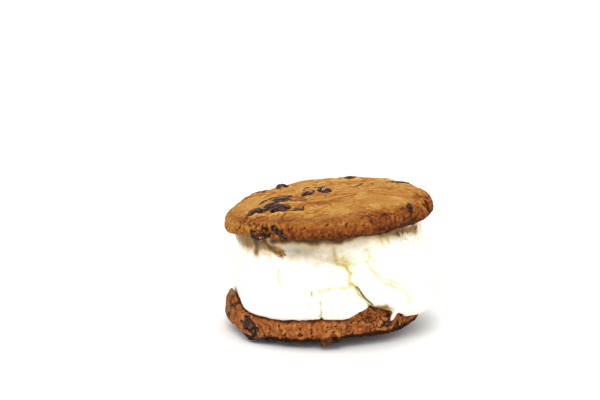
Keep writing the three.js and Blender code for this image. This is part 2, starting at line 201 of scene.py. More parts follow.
def new_material(name):
    """A material, its node tree and its surface shader."""
    material = bpy.data.materials.new(name)
    material.use_nodes = True
    tree = material.node_tree
    return material, tree, tree.nodes["Principled BSDF"]


def value_of(tree, name):
    """The value painted on the points under this name."""
    node = tree.nodes.new("ShaderNodeAttribute")
    node.attribute_name = name
    return node.outputs["Fac"]


def noise_of(tree, size, detail=3.0, rough=0.55):
    """A noise from 0 to 1 with lumps of size mm."""
    place = tree.nodes.new("ShaderNodeTexCoord")
    noise = tree.nodes.new("ShaderNodeTexNoise")
    noise.inputs["Scale"].default_value = 1 / (size * MM)
    noise.inputs["Detail"].default_value = detail
    noise.inputs["Roughness"].default_value = rough
    tree.links.new(place.outputs["Object"], noise.inputs["Vector"])
    return noise.outputs["Fac"]


def add(tree, first, second, by=1.0):
    """first + second * by."""
    node = tree.nodes.new("ShaderNodeMath")
    node.operation = "MULTIPLY_ADD"
    node.inputs[1].default_value = by
    tree.links.new(second, node.inputs[0])
    tree.links.new(first, node.inputs[2])
    return node.outputs["Value"]


def times(tree, first, second):
    node = tree.nodes.new("ShaderNodeMath")
    node.operation = "MULTIPLY"
    tree.links.new(first, node.inputs[0])
    tree.links.new(second, node.inputs[1])
    return node.outputs["Value"]


def spread(tree, value, low, high, to_low=0.0, to_high=1.0):
    """Spread a value's range low..high over to_low..to_high."""
    node = tree.nodes.new("ShaderNodeMapRange")
    for name, number in (
        ("From Min", low), ("From Max", high), ("To Min", to_low), ("To Max", to_high),
    ):
        node.inputs[name].default_value = number
    tree.links.new(value, node.inputs["Value"])
    return node.outputs["Result"]


def about_zero(tree, noise):
    """A noise stretched to run from -0.5 to 0.5."""
    return spread(tree, noise, 0.3, 0.7, -0.5, 0.5)


def uneven(tree, name, by, size, detail=3.0, rough=0.55):
    """A painted value, made uneven by noise times by, with lumps of size mm."""
    painted = value_of(tree, name)
    noise = about_zero(tree, noise_of(tree, size, detail, rough))
    return add(tree, painted, noise, by)


def tone(tree, value, stops):
    """A colour for each value, from stops of (value, colour)."""
    node = tree.nodes.new("ShaderNodeValToRGB")
    ramp = node.color_ramp
    while len(ramp.elements) < len(stops):
        ramp.elements.new(0.5)
    for element, (at, colour) in zip(ramp.elements, stops):
        element.position = at
        element.color = (*colour, 1)
    tree.links.new(value, node.inputs["Fac"])
    return node.outputs["Color"]


def blend(tree, share, first, second):
    """first where share is 0 and second where it is 1; second may be a plain colour."""
    node = tree.nodes.new("ShaderNodeMix")
    node.data_type = "RGBA"
    tree.links.new(share, node.inputs["Factor"])
    tree.links.new(first, node.inputs["A"])
    if isinstance(second, tuple):
        node.inputs["B"].default_value = (*second, 1)
    else:
        tree.links.new(second, node.inputs["B"])
    return node.outputs["Result"]


def emboss(tree, shader, height, depth):
    """Raise the surface by a height, depth mm for each 1."""
    node = tree.nodes.new("ShaderNodeBump")
    node.inputs["Distance"].default_value = depth * MM
    tree.links.new(height, node.inputs["Height"])
    tree.links.new(node.outputs["Normal"], shader.inputs["Normal"])


CHOCOLATE_DEEP = (0.016, 0.007, 0.004)
CHOCOLATE = (0.046, 0.019, 0.011)
BLOOM = (0.100, 0.048, 0.032)
PAINTED_HIGHLIGHT = (0.380, 0.250, 0.175)
BAKED_ON = (0.410, 0.155, 0.042)


def dark_chocolate(name):
    material, tree, shader = new_material(name)
    # Bloom, painted lighter on the ridges, with painted shade in the hollows.
    bloom_and_shade = uneven(tree, "bloom_and_relief_shade", by=0.4, size=1.2, detail=4, rough=0.6)
    colour = tone(tree, bloom_and_shade, [(0.3, CHOCOLATE_DEEP), (0.5, CHOCOLATE), (0.9, BLOOM)])
    # Painted highlights on a few facets.
    painted_highlight = uneven(tree, "painted_highlight", by=0.6, size=0.9)
    colour = blend(tree, spread(tree, painted_highlight, 0.35, 0.8), colour, PAINTED_HIGHLIGHT)
    dough = uneven(tree, "dough", by=0.5, size=1.1, detail=3, rough=0.6)
    colour = blend(tree, spread(tree, dough, 0.35, 0.55), colour, BAKED_ON)
    tree.links.new(colour, shader.inputs["Base Color"])
    polish = spread(tree, noise_of(tree, 1.6), 0.3, 0.7, 0.34, 0.6)
    tree.links.new(polish, shader.inputs["Roughness"])
    shader.inputs["Specular IOR Level"].default_value = 0.06
    emboss(tree, shader, noise_of(tree, 0.9, 4, 0.6), 0.5)
    return material


chocolate = dark_chocolate("dark chocolate")
chunk_points = {}
for node in UPPER_CHUNKS + LOWER_CHUNKS:
    chunk = fine_copy(node, "dark_" + node, CHUNK_VOXEL, CHUNK_RUBS)
    points = points_of(chunk)
    broken = CHUNK_LUMPS * lumps(points, 2.4, 51) - CHUNK_SPLITS * creases(points, 3.6, 52)
    dough = in_places(points, CHUNK_DOUGH, 53)
    hollow = carve(chunk, CHUNK_GROWTH + broken + CHUNK_SKIN * dough, CHUNK_ROUNDS)
    # Ridges are painted lighter and hollows darker as shade.
    bloom_and_relief_shade = 0.5 - 3.0 * hollow
    paint(chunk, "bloom_and_relief_shade", bloom_and_relief_shade - 0.35 * in_places(points, CHUNK_DEEP, 57))
    paint(chunk, "dough", dough)
    # Painted highlights on a few facets.
    paint(chunk, "painted_highlight", in_places(points, CHUNK_HIGHLIGHTS, 56))
    chunk.data.materials.append(chocolate)
    chunk_points[node] = points_of(chunk)
    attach(chunk, "root")
    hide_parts(node)


# ---------------------------------------------------------------------------------------
# The lower cookie. A thick round of baked dough, laid dome down, so that its flat side
# carries the ice cream. Its edge is open crumb: it curls up at the right of the front, is
# torn there, and ends in a point at the left.

CRUST_VOXEL = 0.4  # mm between the points of a cookie's mesh
CRUST_RUBS = 12  # rounds of smoothing
CRUST_ROUNDS = 10  # rounds of averaging that its hollows are judged against
CRUST_HOLLOW = 0.16  # mm, which counts as a hollow of 1
CHUNK_REACH = 4  # mm, the furthest that distance from a chunk is measured
CHUNK_STAIN = 0.7  # mm of dough round a chunk that is stained by it
CREAM_REACH = 3  # mm, the furthest that distance between ice cream and cookie is measured
LOWER_AXIS = np.array([-5.3, 0.3])  # mm, the cookie's middle on the table
LOWER_EDGE = (37, 42)  # mm from its middle, where the open edge begins and is full
LOWER_FLAT = 14.6  # mm, the height of its flat side in the middle
LOWER_SLOPE = 0.052  # rise of its flat side to the right
LOWER_LEFT = (38, 45)  # mm to the left, where the left end begins and is full
LOWER_TIP = (14.5, 18)  # mm above the table, where the left end narrows to its point
LOWER_UNDERSIDE_SHADE = (8.0, 9.4)  # mm below the flat side, where painted shade along the bottom of the edge begins and is full
LOWER_UNDER = (11, 13)  # mm below the flat side, where that painted shade is lighter again

# Places as (x, y, z, radius): where the edge is torn, and small chips of chocolate in it.
LOWER_TORN = [
    (17, -40, 12.5, 5.5), (23, -36, 11, 5.0), (-33, -37, 6, 4.5), (-44, -18, 14, 4.5),
    (20, 39, 10, 5.5), (-38, 27, 9, 5),
]
LOWER_CHIPS = [
    (-47.8, -14.4, 9.0, 1.8), (-45.4, -17.0, 13.2, 1.7), (-43.4, -19.2, 14.0, 1.8),
    (-33.4, -33.6, 4.4, 2.3),
    (-30.0, -37.5, 4.6, 1.3), (-3.6, -44.6, 4.6, 1.3), (27.4, -30.6, 8.4, 1.6),
    (12.4, -41.4, 8.0, 0.9), (38.0, 8.0, 9.0, 1.6), (-20.0, 40.0, 7.0, 1.5),
]
# Where it turns olive-brown, where it is baked darkest, and where its underside has less painted
# shade than round it.
LOWER_OLIVE = [(-47.5, -10, 16, 6.5), (-47.5, -15, 11, 4.5)]
LOWER_PURPLE = [(-46.4, -15, 15.4, 3.0)]
LOWER_PALE = [(-5.5, -45, 5, 4.5)]


def pores(points, size, share, seed):
    """Open bubbles about size mm across: 0 between them and 1 at their deepest."""
    field = lumps(points, size, seed) + 0.55 * lumps(points, size * 0.5, seed + 1)
    rim = np.quantile(field, 1 - share)
    return smooth_step(field, rim, rim + 0.28)


def from_nearest(points, others, reach):
    """Distance in mm of each point from the nearest of others, at most reach."""
    tree = KDTree(len(others))
    for index, point in enumerate(others):
        tree.insert(point, index)
    tree.balance()
    inside = (points > others.min(axis=0) - reach) & (points < others.max(axis=0) + reach)
    away = np.full(len(points), float(reach))
    for index in np.flatnonzero(inside.all(axis=1)):
        away[index] = min(reach, tree.find(points[index])[2])
    return away


def from_chunks(points, nodes):
    others = np.concatenate([chunk_points[node] for node in nodes])
    return from_nearest(points, others, CHUNK_REACH)


def collar(to_chunk, height, away, wide):
    """Relief in mm of the dough that stands up in a ring round a chunk, away mm from it."""
    return height * np.exp(-(((to_chunk - away) / wide) ** 2))


def stained(to_chunk):
    """1 at a chunk, falling to 0 where its chocolate no longer stains the dough."""
    return np.clip(1 - to_chunk / CHUNK_STAIN, 0, 1)


def from_node(points, node, reach):
    """Distance in mm of each point from a node's surface, at most reach."""
    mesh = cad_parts[node].data
    corners = [vertex.co / MM for vertex in mesh.vertices]
    surface = BVHTree.FromPolygons(corners, [tuple(face.vertices) for face in mesh.polygons])
    away = np.full(len(points), float(reach))
    for index, point in enumerate(points):
        found = surface.find_nearest(point, reach)[3]
        if found is not None:
            away[index] = found
    return away


def grains(points, size, seed):
    """Packed round grains about size mm across: 1 on top of each and 0 between them."""
    table = np.random.default_rng(seed).random((NOISE_TABLE, 3))
    mix = np.array([73, 151, 59])  # primes, so that neighbouring cells take unlike rows
    place = points / size + NOISE_SHIFT
    cell = np.floor(place).astype(int)
    nearest = np.full(len(points), 9.0)
    for corner in np.ndindex(3, 3, 3):
        other = cell + np.array(corner) - 1
        middle = other + table[(other @ mix) & (NOISE_TABLE - 1)]
        nearest = np.minimum(nearest, ((place - middle) ** 2).sum(axis=1))
    return np.clip(1 - nearest / 0.6, 0, 1)


def crumb(points, seed):
    """Relief in mm of open baked crumb, and how much of it is a split or an open bubble."""
    upright = points * np.array([1, 1, 0.7])  # the dough rose, so its grain stands up
    splits = creases(upright, 3.4, seed) * smooth_step(lumps(points, 6, seed + 1), 0.0, 0.5)
    bubbles = pores(upright, size=1.6, share=0.12, seed=seed + 2)
    grain = 0.45 * lumps(points, 3.3, seed + 4) + 0.30 * (grains(upright, 1.7, seed + 5) - 0.5)
    return grain - 0.35 * splits - 0.75 * bubbles, np.maximum(0.6 * splits, bubbles)


def broken_crumb(points, seed):
    """Relief in mm of crumb that is torn open: coarse grains on an uneven break."""
    large = grains(points, 2.8, seed + 1) - 0.5
    small = grains(points, 1.5, seed + 2) - 0.5
    return 0.9 * lumps(points, 4.5, seed) + 0.5 * large + 0.45 * small


PORE_SHADE_COLOUR = (0.085, 0.022, 0.008)
OLIVE_BROWN = (0.260, 0.150, 0.055)


def baked_dough(name, stops):
    """Baked crumb: its colour follows how far it is toasted, with painted shade and light added to
    that, and painted shade lies in its pores.
    """
    material, tree, shader = new_material(name)
    coarse = value_of(tree, "coarse")
    toast_and_shade = uneven(tree, "toast_and_shade", by=0.20, size=8, detail=5, rough=0.6)
    fine = times(tree, about_zero(tree, noise_of(tree, 1.5, 4, 0.7)), coarse)
    colour = tone(tree, add(tree, toast_and_shade, fine, 0.42), stops)
    # Olive-brown in places.
    olive = uneven(tree, "olive", by=0.3, size=3, detail=4, rough=0.6)
    colour = blend(tree, spread(tree, olive, 0.3, 0.9, 0.0, 0.75), colour, OLIVE_BROWN)
    # Painted shade in the pores.
    pore_shade_value = uneven(tree, "pore_shade", by=0.25, size=0.8)
    colour = blend(tree, spread(tree, pore_shade_value, 0.15, 0.9, 0.0, 0.88), colour, PORE_SHADE_COLOUR)
    chip = uneven(tree, "chip", by=0.5, size=1.1)
    chocolate_share = spread(tree, chip, 0.38, 0.72)
    bits = tone(tree, noise_of(tree, 1.3, 4, 0.6), [(0.35, CHOCOLATE_DEEP), (0.65, BLOOM)])
    tree.links.new(blend(tree, chocolate_share, colour, bits), shader.inputs["Base Color"])
    dullness = spread(tree, chocolate_share, 0, 1, 0.8, 0.5)
    tree.links.new(dullness, shader.inputs["Roughness"])
    shader.inputs["Specular IOR Level"].default_value = 0.05
    grain = add(tree, noise_of(tree, 0.9, 5, 0.65), noise_of(tree, 0.22, 2), 0.3)
    emboss(tree, shader, times(tree, grain, spread(tree, coarse, 0, 1, 0.45, 1.0)), 0.9)
    return material


lower = fine_copy("bottom_cookie", "lower_cookie", CRUST_VOXEL, CRUST_RUBS)
points = points_of(lower)
out = np.linalg.norm(points[:, :2] - LOWER_AXIS, axis=1)
edge = smooth_step(out, *LOWER_EDGE)
torn = in_places(points, LOWER_TORN, 20, 2.0)
whole = 1 - 0.6 * torn
chips = in_places(points, LOWER_CHIPS, 29, 1.5)
to_chunk = from_chunks(points, LOWER_CHUNKS)
to_cream = from_node(points, "ice_cream", CREAM_REACH)
open_crumb, holes = crumb(points, 21)
# Relief in mm: open crumb that is shallow on the dome, then lumps, tears and raised dough.
relief = (0.25 + 0.75 * edge) * whole * open_crumb
relief += 0.55 * edge * lumps(points, 8, 33) + torn * broken_crumb(points, 27)
relief += collar(to_chunk, height=0.4, away=1.0, wide=0.7) + 0.35 * chips
left_end = smooth_step(-points[:, 0], *LOWER_LEFT)
tip = left_end * smooth_step(points[:, 2], *LOWER_TIP)
inward = smooth_step(normals_of(lower)[:, 0], -0.2, 0.5)
relief = (1 - tip) * relief - 0.45 * tip * inward  # it ends in a point
hollow = carve(lower, relief, CRUST_ROUNDS) / CRUST_HOLLOW
drop = LOWER_FLAT + LOWER_SLOPE * (points[:, 0] - LOWER_AXIS[0]) - points[:, 2]
drop += 0.5 * lumps(points, 3, 37)
# Painted shade along the bottom of the edge, lighter again further under and at one bump.
underside_shade = smooth_step(drop, *LOWER_UNDERSIDE_SHADE) * (1 - 0.6 * smooth_step(drop, *LOWER_UNDER))
underside_shade *= 1 - 0.5 * in_places(points, LOWER_PALE, 38, 1.5)
# Painted shade where it meets the ice cream.
cream_contact_shade = 1 - smooth_step(to_cream, 0.4, 1.5)
purple = in_places(points, LOWER_PURPLE, 35, 1.5)
# How far it is toasted, with painted shade added: 0 is pale, 1 is black, and each number is what
# that place adds.
toast_and_shade = 0.38 + 0.78 * underside_shade + 0.06 * left_end + 0.22 * purple + 0.35 * cream_contact_shade * edge
# Hollows are painted darker as shade and ridges lighter, the torn crumb the most.
toast_and_shade += 0.08 * torn + (0.12 + 0.06 * torn) * np.clip(hollow, -1.2, 1.6)
paint(lower, "toast_and_shade", toast_and_shade)
paint(lower, "olive", 0.75 * in_places(points, LOWER_OLIVE, 36, 1.0) * (1 - 0.7 * purple))
# Painted shade in the open bubbles and splits, and in the hollows of the torn crumb.
painted_pore_shade = edge * holes * whole + 0.65 * torn * smooth_step(hollow, 0.3, 1.4)
paint(lower, "pore_shade", painted_pore_shade)
paint(lower, "chip", chips + stained(to_chunk))
paint(lower, "coarse", 0.5 + 0.5 * edge)
LOWER_TONES = [
    (0.0, (0.60, 0.30, 0.090)),
    (0.25, (0.455, 0.162, 0.042)),
    (0.45, (0.31, 0.090, 0.025)),
    (0.7, (0.15, 0.042, 0.012)),
    (1.0, (0.022, 0.009, 0.005)),
]
lower.data.materials.append(baked_dough("baked lower crumb", LOWER_TONES))
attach(lower, "root")
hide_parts("bottom_cookie")


# ---------------------------------------------------------------------------------------
# The ice cream. Vanilla, scooped and pressed between the cookies, so it bulges in lobes,
# with a shaded recess under the upper cookie, a flap and cracks, and a scooped lobe.

CREAM_VOXEL = 0.5  # mm between the points of its mesh
CREAM_RUBS = 16  # rounds of smoothing
CREAM_ROUNDS = 10  # rounds of averaging that its hollows are judged against
CREAM_HOLLOW = 0.2  # mm, which counts as a hollow of 1
CREAM_AXIS = np.array([0.5, 0.3])  # mm, the slab's middle
CREAM_RADIUS = 46.0  # mm
CREAM_SIDE = (33, 37)  # mm from its middle, where the side begins and is full
CREAM_RECESS = (0.3, 10.5)  # mm below the upper cookie, where painted shade lies on the side
CREAM_LID_SHADE = (0.3, 2.2)  # mm below the upper cookie, where a dark band of painted shade lies on it
LID_REACH = 11  # mm, the furthest that distance from the upper cookie is measured
RECESS_TURN = -106  # degrees round the slab, where that painted shade is strongest
RECESS_SPREAD = 0.62  # radians over which it fades
MEND_ROUNDS = 60

# Cracks and creases of the side. A path goes through (turn, height): degrees round the
# slab, -90 at the front, and mm above the table. wide and deep are in mm, and the last entry
# is how much yellow painted shade lies in it at each point of the path.
CREAM_CRACKS = [
    {
        "path": [(-91, 49), (-90.6, 43), (-88.6, 39.8), (-84.5, 38.4), (-82.2, 35), (-82, 28.8)],
        "wide": 0.9, "deep": 1.1, "crack_and_pit_shade": [0.1, 0.15, 0.7, 1.0, 0.6, 0.45],
    },
    {
        "path": [(-89, 40.2), (-86, 39.4), (-83.6, 38.6)],
        "wide": 2.1, "deep": 0.2, "crack_and_pit_shade": [0.6, 1, 1],
    },
    {"path": [(-81, 31), (-77.4, 26), (-70.6, 20)], "wide": 0.8, "deep": 1.2, "crack_and_pit_shade": [1, 0.8, 0.3]},
    {"path": [(-99, 27.6), (-91, 28.6), (-82, 29)], "wide": 0.8, "deep": 0.7, "crack_and_pit_shade": 0.4},
    {"path": [(-98.5, 22), (-97.5, 12)], "wide": 0.6, "deep": 1.4, "crack_and_pit_shade": 0.15},
    {
        "path": [(-73.5, 41), (-70.5, 36), (-65, 30.5), (-58, 27.6), (-50, 24.4), (-47, 19)],
        "wide": 0.9, "deep": 0.65, "crack_and_pit_shade": [0.2, 0.4, 0.3, 0.35, 0.15, 0.3],
    },
    {"path": [(-63, 32), (-58, 29.8), (-53, 28.6)], "wide": 0.6, "deep": 0.6, "crack_and_pit_shade": 0.3},
    {"path": [(-121.7, 35.3), (-120.4, 31), (-118.8, 28)], "wide": 0.5, "deep": 0.5, "crack_and_pit_shade": 0.5},
    {"path": [(-64, 52), (-63, 47)], "wide": 0.8, "deep": 1.0, "crack_and_pit_shade": 0.2},
    {"path": [(-59, 52), (-58.5, 47.4)], "wide": 0.8, "deep": 1.0, "crack_and_pit_shade": 0.2},
    {"path": [(-49, 52), (-47, 48)], "wide": 0.8, "deep": 0.9, "crack_and_pit_shade": 0.2},
    {"path": [(78, 48), (84, 39), (81, 31), (93, 26)], "wide": 0.9, "deep": 1.4, "crack_and_pit_shade": 0.7},
    {"path": [(108, 33), (116, 27), (121, 18)], "wide": 0.7, "deep": 2.0, "crack_and_pit_shade": 0.7},
    {"path": [(20, 34), (32, 28), (40, 27), (48, 31)], "wide": 0.9, "deep": 0.8, "crack_and_pit_shade": 0.4},
]
# One edge of two of the cracks stands open, and is painted dark with shade.
CREAM_GAPS = [
    {"path": [(-79.2, 29.6), (-76.8, 27), (-74.6, 24), (-69.4, 20.6)], "wide": 0.32, "much": 1},
    {"path": [(110, 31), (116.8, 26.6), (121, 19)], "wide": 0.32, "much": 0.9},
]
# Small pits, as (turn, height), with painted shade in them.
CREAM_PITS = [
    (-74, 40.2), (-69.7, 40), (-72.3, 44.3), (-71, 42), (-103, 26), (-113, 20.4), (-104.2, 20.3),
    (70, 38), (96, 24), (10, 41),
]

# Brown painted on it along paths; much is how brown it is. Some are stains where dough and chocolate
# rubbed off; the rest is painted shade under the upper cookie, across the recess, on the left neck,
# in one pit and under the lobe at the front right.
CREAM_STAINS_AND_SHADE = [
    # a stain of chocolate
    {
        "path": [(-138.6, 50), (-139.4, 45.5), (-140, 40.8)],
        "wide": [3.0, 3.0, 2.2], "much": [1.1, 1, 0.7],
    },
    # painted shade of the upper cookie on the left neck
    {"path": [(-166, 44), (-150, 44.8), (-132, 46.2)], "wide": 4.8, "much": [0.42, 0.60, 0.7]},
    {"path": [(-164, 41.4), (-146, 41.8), (-128, 41.8)], "wide": 2.8, "much": [0.18, 0.29, 0.34]},
    # a streak of crumbs
    {
        "path": [(-133, 48), (-129, 45), (-126, 44), (-122, 42.2), (-119.4, 40.4)],
        "wide": [2.4, 2.2, 1.9, 1.4, 0.9], "much": [0.9, 0.85, 0.8, 0.62, 0.4],
    },
    # painted shade: under the upper cookie, its shadow and the recess below it
    {"path": [(-126, 48), (-112, 48.6), (-99, 48.6), (-88, 48.6)], "wide": 2.4, "much": 0.95},
    {"path": [(-91, 48.4), (-100, 46.4), (-112, 43.8)], "wide": 1.8, "much": [0.6, 0.3, 0.1]},
    {"path": [(-119, 41.6), (-104, 41.4), (-91, 41.4)], "wide": 2.7, "much": [0.2, 0.27, 0.31]},
    {"path": [(-88, 49), (-78, 50), (-66, 51)], "wide": 2.0, "much": [0.9, 0.7, 0.4]},
    # painted shade under the upper cookie at the right front, with an olive stain
    {"path": [(-66, 50.8), (-52, 50.4), (-40, 49.6), (-26, 48.6)], "wide": 2.4, "much": 0.58},
    # painted shade under the lobe at the front right, and in a pit
    {"path": [(-71, 19.8), (-64, 18.8), (-56, 17.4)], "wide": 1.5, "much": [1, 0.75, 0.35]},
    {"path": [(-103, 26.4), (-102.7, 25.4)], "wide": 0.8, "much": 0.45},
    # painted shade under the upper cookie at the back
    {"path": [(50, 51), (75, 50), (99, 49)], "wide": 2.0, "much": [0.2, 0.5, 0.3]},
    # a stain of chocolate at the back
    {"path": [(135, 47), (139, 42)], "wide": 1.9, "much": [0.8, 0.4]},
    # painted shade under the upper cookie at the right
    {"path": [(-10, 49), (20, 51), (42, 52)], "wide": 1.6, "much": 0.4},
]
# Where a crack of the solid closed up again, and where the side is broken rather than
# smooth, as (x, y, z, radius).
CREAM_MENDED = [(6.9, -42, 34.6, 4), (5.6, 44, 38.5, 4), (7.2, 44, 33, 4), (2.5, 45, 28, 4.5)]
CREAM_BROKEN = [
    (8, -43, 40, 7), (17, -42, 41, 6), (2, -45, 29, 6), (30, -27, 48, 6), (36, -18, 48, 6),
    (8, 45, 34, 9), (-22, 40, 30, 8), (46, 10, 40, 7),
]


def on_side(path):
    """Turns and heights as millimetres on the unrolled side of the slab."""
    return np.array([(np.radians(turn) * CREAM_RADIUS, height) for turn, height in path])


def from_path(places, path):
    """Distance of each place from a path of straight stretches, and where along it that is."""
    nearest = np.full(len(places), np.inf)
    along = np.zeros(len(places))
    for index, (start, end) in enumerate(zip(path[:-1], path[1:])):
        step = end - start
        share = np.clip((places - start) @ step / (step @ step), 0, 1)
        gap = np.linalg.norm(places - start - share[:, None] * step, axis=1)
        closer = gap < nearest
        nearest[closer] = gap[closer]
        along[closer] = index + share[closer]
    return nearest, along


def beside(places, path, wide, much):
    """much on the path, falling to 0 over wide mm; both may differ from point to point."""
    away, along = from_path(places, path)
    steps = np.arange(len(path))
    strength = np.interp(along, steps, np.broadcast_to(much, len(path)))
    width = np.interp(along, steps, np.broadcast_to(wide, len(path)))
    return strength * np.exp(-((away / width) ** 2))


def strongest(places, lines, lay):
    """The most that any of the lines gives at each place; lay turns a path into places."""
    most = np.zeros(len(places))
    for line in lines:
        most = np.maximum(most, beside(places, lay(line["path"]), line["wide"], line["much"]))
    return most


def mend(piece, places, rounds):
    """Rub a piece flat in places (x, y, z, radius in mm)."""
    points = points_of(piece)
    share = in_places(points, places, 1, 0)[:, None]
    set_points(piece, points + share * (mean_round(piece, rounds) - points))


cream = fine_copy("ice_cream", "vanilla_ice_cream", CREAM_VOXEL, CREAM_RUBS)
mend(cream, CREAM_MENDED, MEND_ROUNDS)
points = points_of(cream)
across = points[:, :2] - CREAM_AXIS
side = smooth_step(np.linalg.norm(across, axis=1), *CREAM_SIDE)
places = np.stack([np.arctan2(across[:, 1], across[:, 0]) * CREAM_RADIUS, points[:, 2]], axis=1)
sway = np.stack([lumps(points, 4.5, 31), lumps(points, 4.5, 32)], axis=1)
jitter = np.stack([lumps(points, 1.5, 33), lumps(points, 1.5, 34)], axis=1)
wobble = 0.8 * sway + 0.35 * jitter
patchy = smooth_step(lumps(points, 6, 30), -0.55, 0.25)  # cracks fade here and there
cut = np.zeros(len(points))
crack_and_pit_shade = np.zeros(len(points))
for crack in CREAM_CRACKS:
    path = on_side(crack["path"])
    deep = beside(places + wobble, path, crack["wide"], crack["deep"]) * (0.35 + 0.65 * patchy)
    cut = np.maximum(cut, deep)
    crack_and_pit_shade = np.maximum(crack_and_pit_shade, beside(places + wobble, path, crack["wide"] * 1.2, crack["crack_and_pit_shade"]))
for pit in on_side(CREAM_PITS):
    away = np.linalg.norm(places + wobble - pit, axis=1)
    cut = np.maximum(cut, 0.5 * np.exp(-((away / 0.7) ** 2)))
    crack_and_pit_shade = np.maximum(crack_and_pit_shade, 0.3 * np.exp(-((away / 0.8) ** 2)))
gap = strongest(places + 0.4 * sway, CREAM_GAPS, on_side)
stain_and_shade = strongest(places + 1.3 * sway, CREAM_STAINS_AND_SHADE, on_side)
broken = in_places(points, CREAM_BROKEN, 40, 3.0)
flakes = creases(points + 1.5 * lumps(points, 3, 43)[:, None], 4.2, 44)
# Relief in mm: the swells that the scoop left, then lumps and flakes where it is broken.
relief = 0.45 * lumps(points, 11, 39) + 0.18 * lumps(points, 4.5, 36)
relief += (0.15 + 0.85 * broken) * (0.30 * lumps(points, 2.2, 37) - 0.55 * flakes)
to_lid = from_node(points, "top_cookie", LID_REACH)
to_base = from_node(points, "bottom_cookie", CREAM_REACH)
deeper = carve(cream, side * (relief - cut - 0.9 * gap), CREAM_ROUNDS)
hollow = np.clip(deeper / CREAM_HOLLOW, 0, 2)
close = 1 - smooth_step(to_lid, *CREAM_RECESS)
# Painted shade in a dark band just under the upper cookie.
lid_shade = 1 - smooth_step(to_lid, *CREAM_LID_SHADE)
turned = places[:, 0] / CREAM_RADIUS - np.radians(RECESS_TURN)
front = np.exp(-((turned / RECESS_SPREAD) ** 2))
# Painted shade: yellow in the cracks, pits and hollows, and beige in the recess under the upper
# cookie, most at the front.
paint(cream, "crease_shade", side * (0.75 * crack_and_pit_shade + 0.16 * hollow + (0.22 + 0.38 * front) * close))
# The open cracks are painted dark as shade.
paint(cream, "gap", side * gap)
# Painted shade darkens it where it rests on the lower cookie, but not at that cookie's left end.
base_shade = 0.35 * (1 - smooth_step(to_base, 0.3, 1.2)) * smooth_step(points[:, 0], -43, -36)
# Brown: stains and painted shade along the paths, the dark band of painted shade under the upper
# cookie, and painted shade along the lower cookie.
paint(cream, "stain_and_shade", side * np.maximum(np.maximum(stain_and_shade, 0.6 * lid_shade), base_shade))

CREAM = (0.888, 0.868, 0.775)
CREAM_SHADE_YELLOW = (0.66, 0.55, 0.25)
CREAM_SHADE_DEEP = (0.54, 0.41, 0.12)
CREAM_GAP_SHADE = (0.10, 0.085, 0.050)
STAIN_SHADE_PALE = (0.46, 0.300, 0.108)
STAIN_SHADE_DARK = (0.100, 0.044, 0.019)


def frozen_cream(name):
    """Firm vanilla ice cream: white, with painted yellow shade in its cracks, hollows and recess,
    stained brown where dough rubbed it, and painted brown shade under the upper cookie, along the
    lower one and in its open cracks.
    """
    material, tree, shader = new_material(name)
    shade_share = uneven(tree, "crease_shade", by=0.07, size=3)
    body = tone(tree, shade_share, [(0.0, CREAM), (0.7, CREAM_SHADE_YELLOW), (1.0, CREAM_SHADE_DEEP)])
    stain_and_shade = uneven(tree, "stain_and_shade", by=0.16, size=2.6)
    brown = tone(tree, stain_and_shade, [(0.3, STAIN_SHADE_PALE), (0.85, STAIN_SHADE_DARK)])
    colour = blend(tree, spread(tree, stain_and_shade, 0.08, 0.5), body, brown)
    colour = blend(tree, spread(tree, value_of(tree, "gap"), 0.25, 0.75), colour, CREAM_GAP_SHADE)
    tree.links.new(colour, shader.inputs["Base Color"])
    shader.inputs["Roughness"].default_value = 0.5
    shader.inputs["Specular IOR Level"].default_value = 0.15
    shader.inputs["Subsurface Weight"].default_value = 0.2
    shader.inputs["Subsurface Radius"].default_value = (1.0, 0.72, 0.42)
    shader.inputs["Subsurface Scale"].default_value = 1.2 * MM
    frost = add(tree, noise_of(tree, 0.9, 4, 0.6), noise_of(tree, 0.3, 2), 0.3)
    emboss(tree, shader, frost, 0.18)
    return material


cream.data.materials.append(frozen_cream("vanilla ice cream"))
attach(cream, "root")
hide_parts("ice_cream")


# ---------------------------------------------------------------------------------------
# The upper cookie. Dome up and golden, wrinkled in the middle where the crust set first,
# toasted and open-pored round its edge, which broke a little where the chunks come out.

UPPER_AXIS = np.array([-2.3, 0.3])  # mm, its middle seen from above
UPPER_EDGE = (37, 45)  # mm from its middle, where the porous edge begins and is full
# Places as (x, y, z, radius) in mm: where the edge is torn.
UPPER_TORN = [
    (-30.5, -37.5, 50.5, 4.6), (-25, -41, 50.0, 3.6), (-36, -32, 50.5, 3.6),
    (43, -10.5, 58, 3.2), (38, 26, 58, 4), (-10, 47, 54, 4),
]
# Where the edge is rough, but not torn.
UPPER_ROUGH = [
    (-41, -26, 53.5, 6), (-34, -35, 54, 6), (18, -41, 58, 6), (27, -36, 57, 7.5),
    (36, -25, 57, 6.5), (43, -9, 58, 7), (42, 8, 60, 7), (10, 47, 57, 8), (-44, 15, 55, 7),
]
# Where small chips of chocolate show.
UPPER_CHIPS = [
    (32.2, -29.0, 60.6, 1.6), (33.6, -30.4, 54.8, 1.4), (30.0, -33.0, 57.4, 0.8),
    (-33.3, 22.0, 58.6, 3.2), (-17.2, -28.6, 60.4, 1.3),
    (-13.6, -28.8, 60.6, 1.0), (12.4, 5.0, 64.8, 1.3), (17.4, 3.4, 65.2, 1.0),
    (-32.2, -37.4, 50.0, 2.2), (-29.6, -36.4, 49.6, 1.7),
]
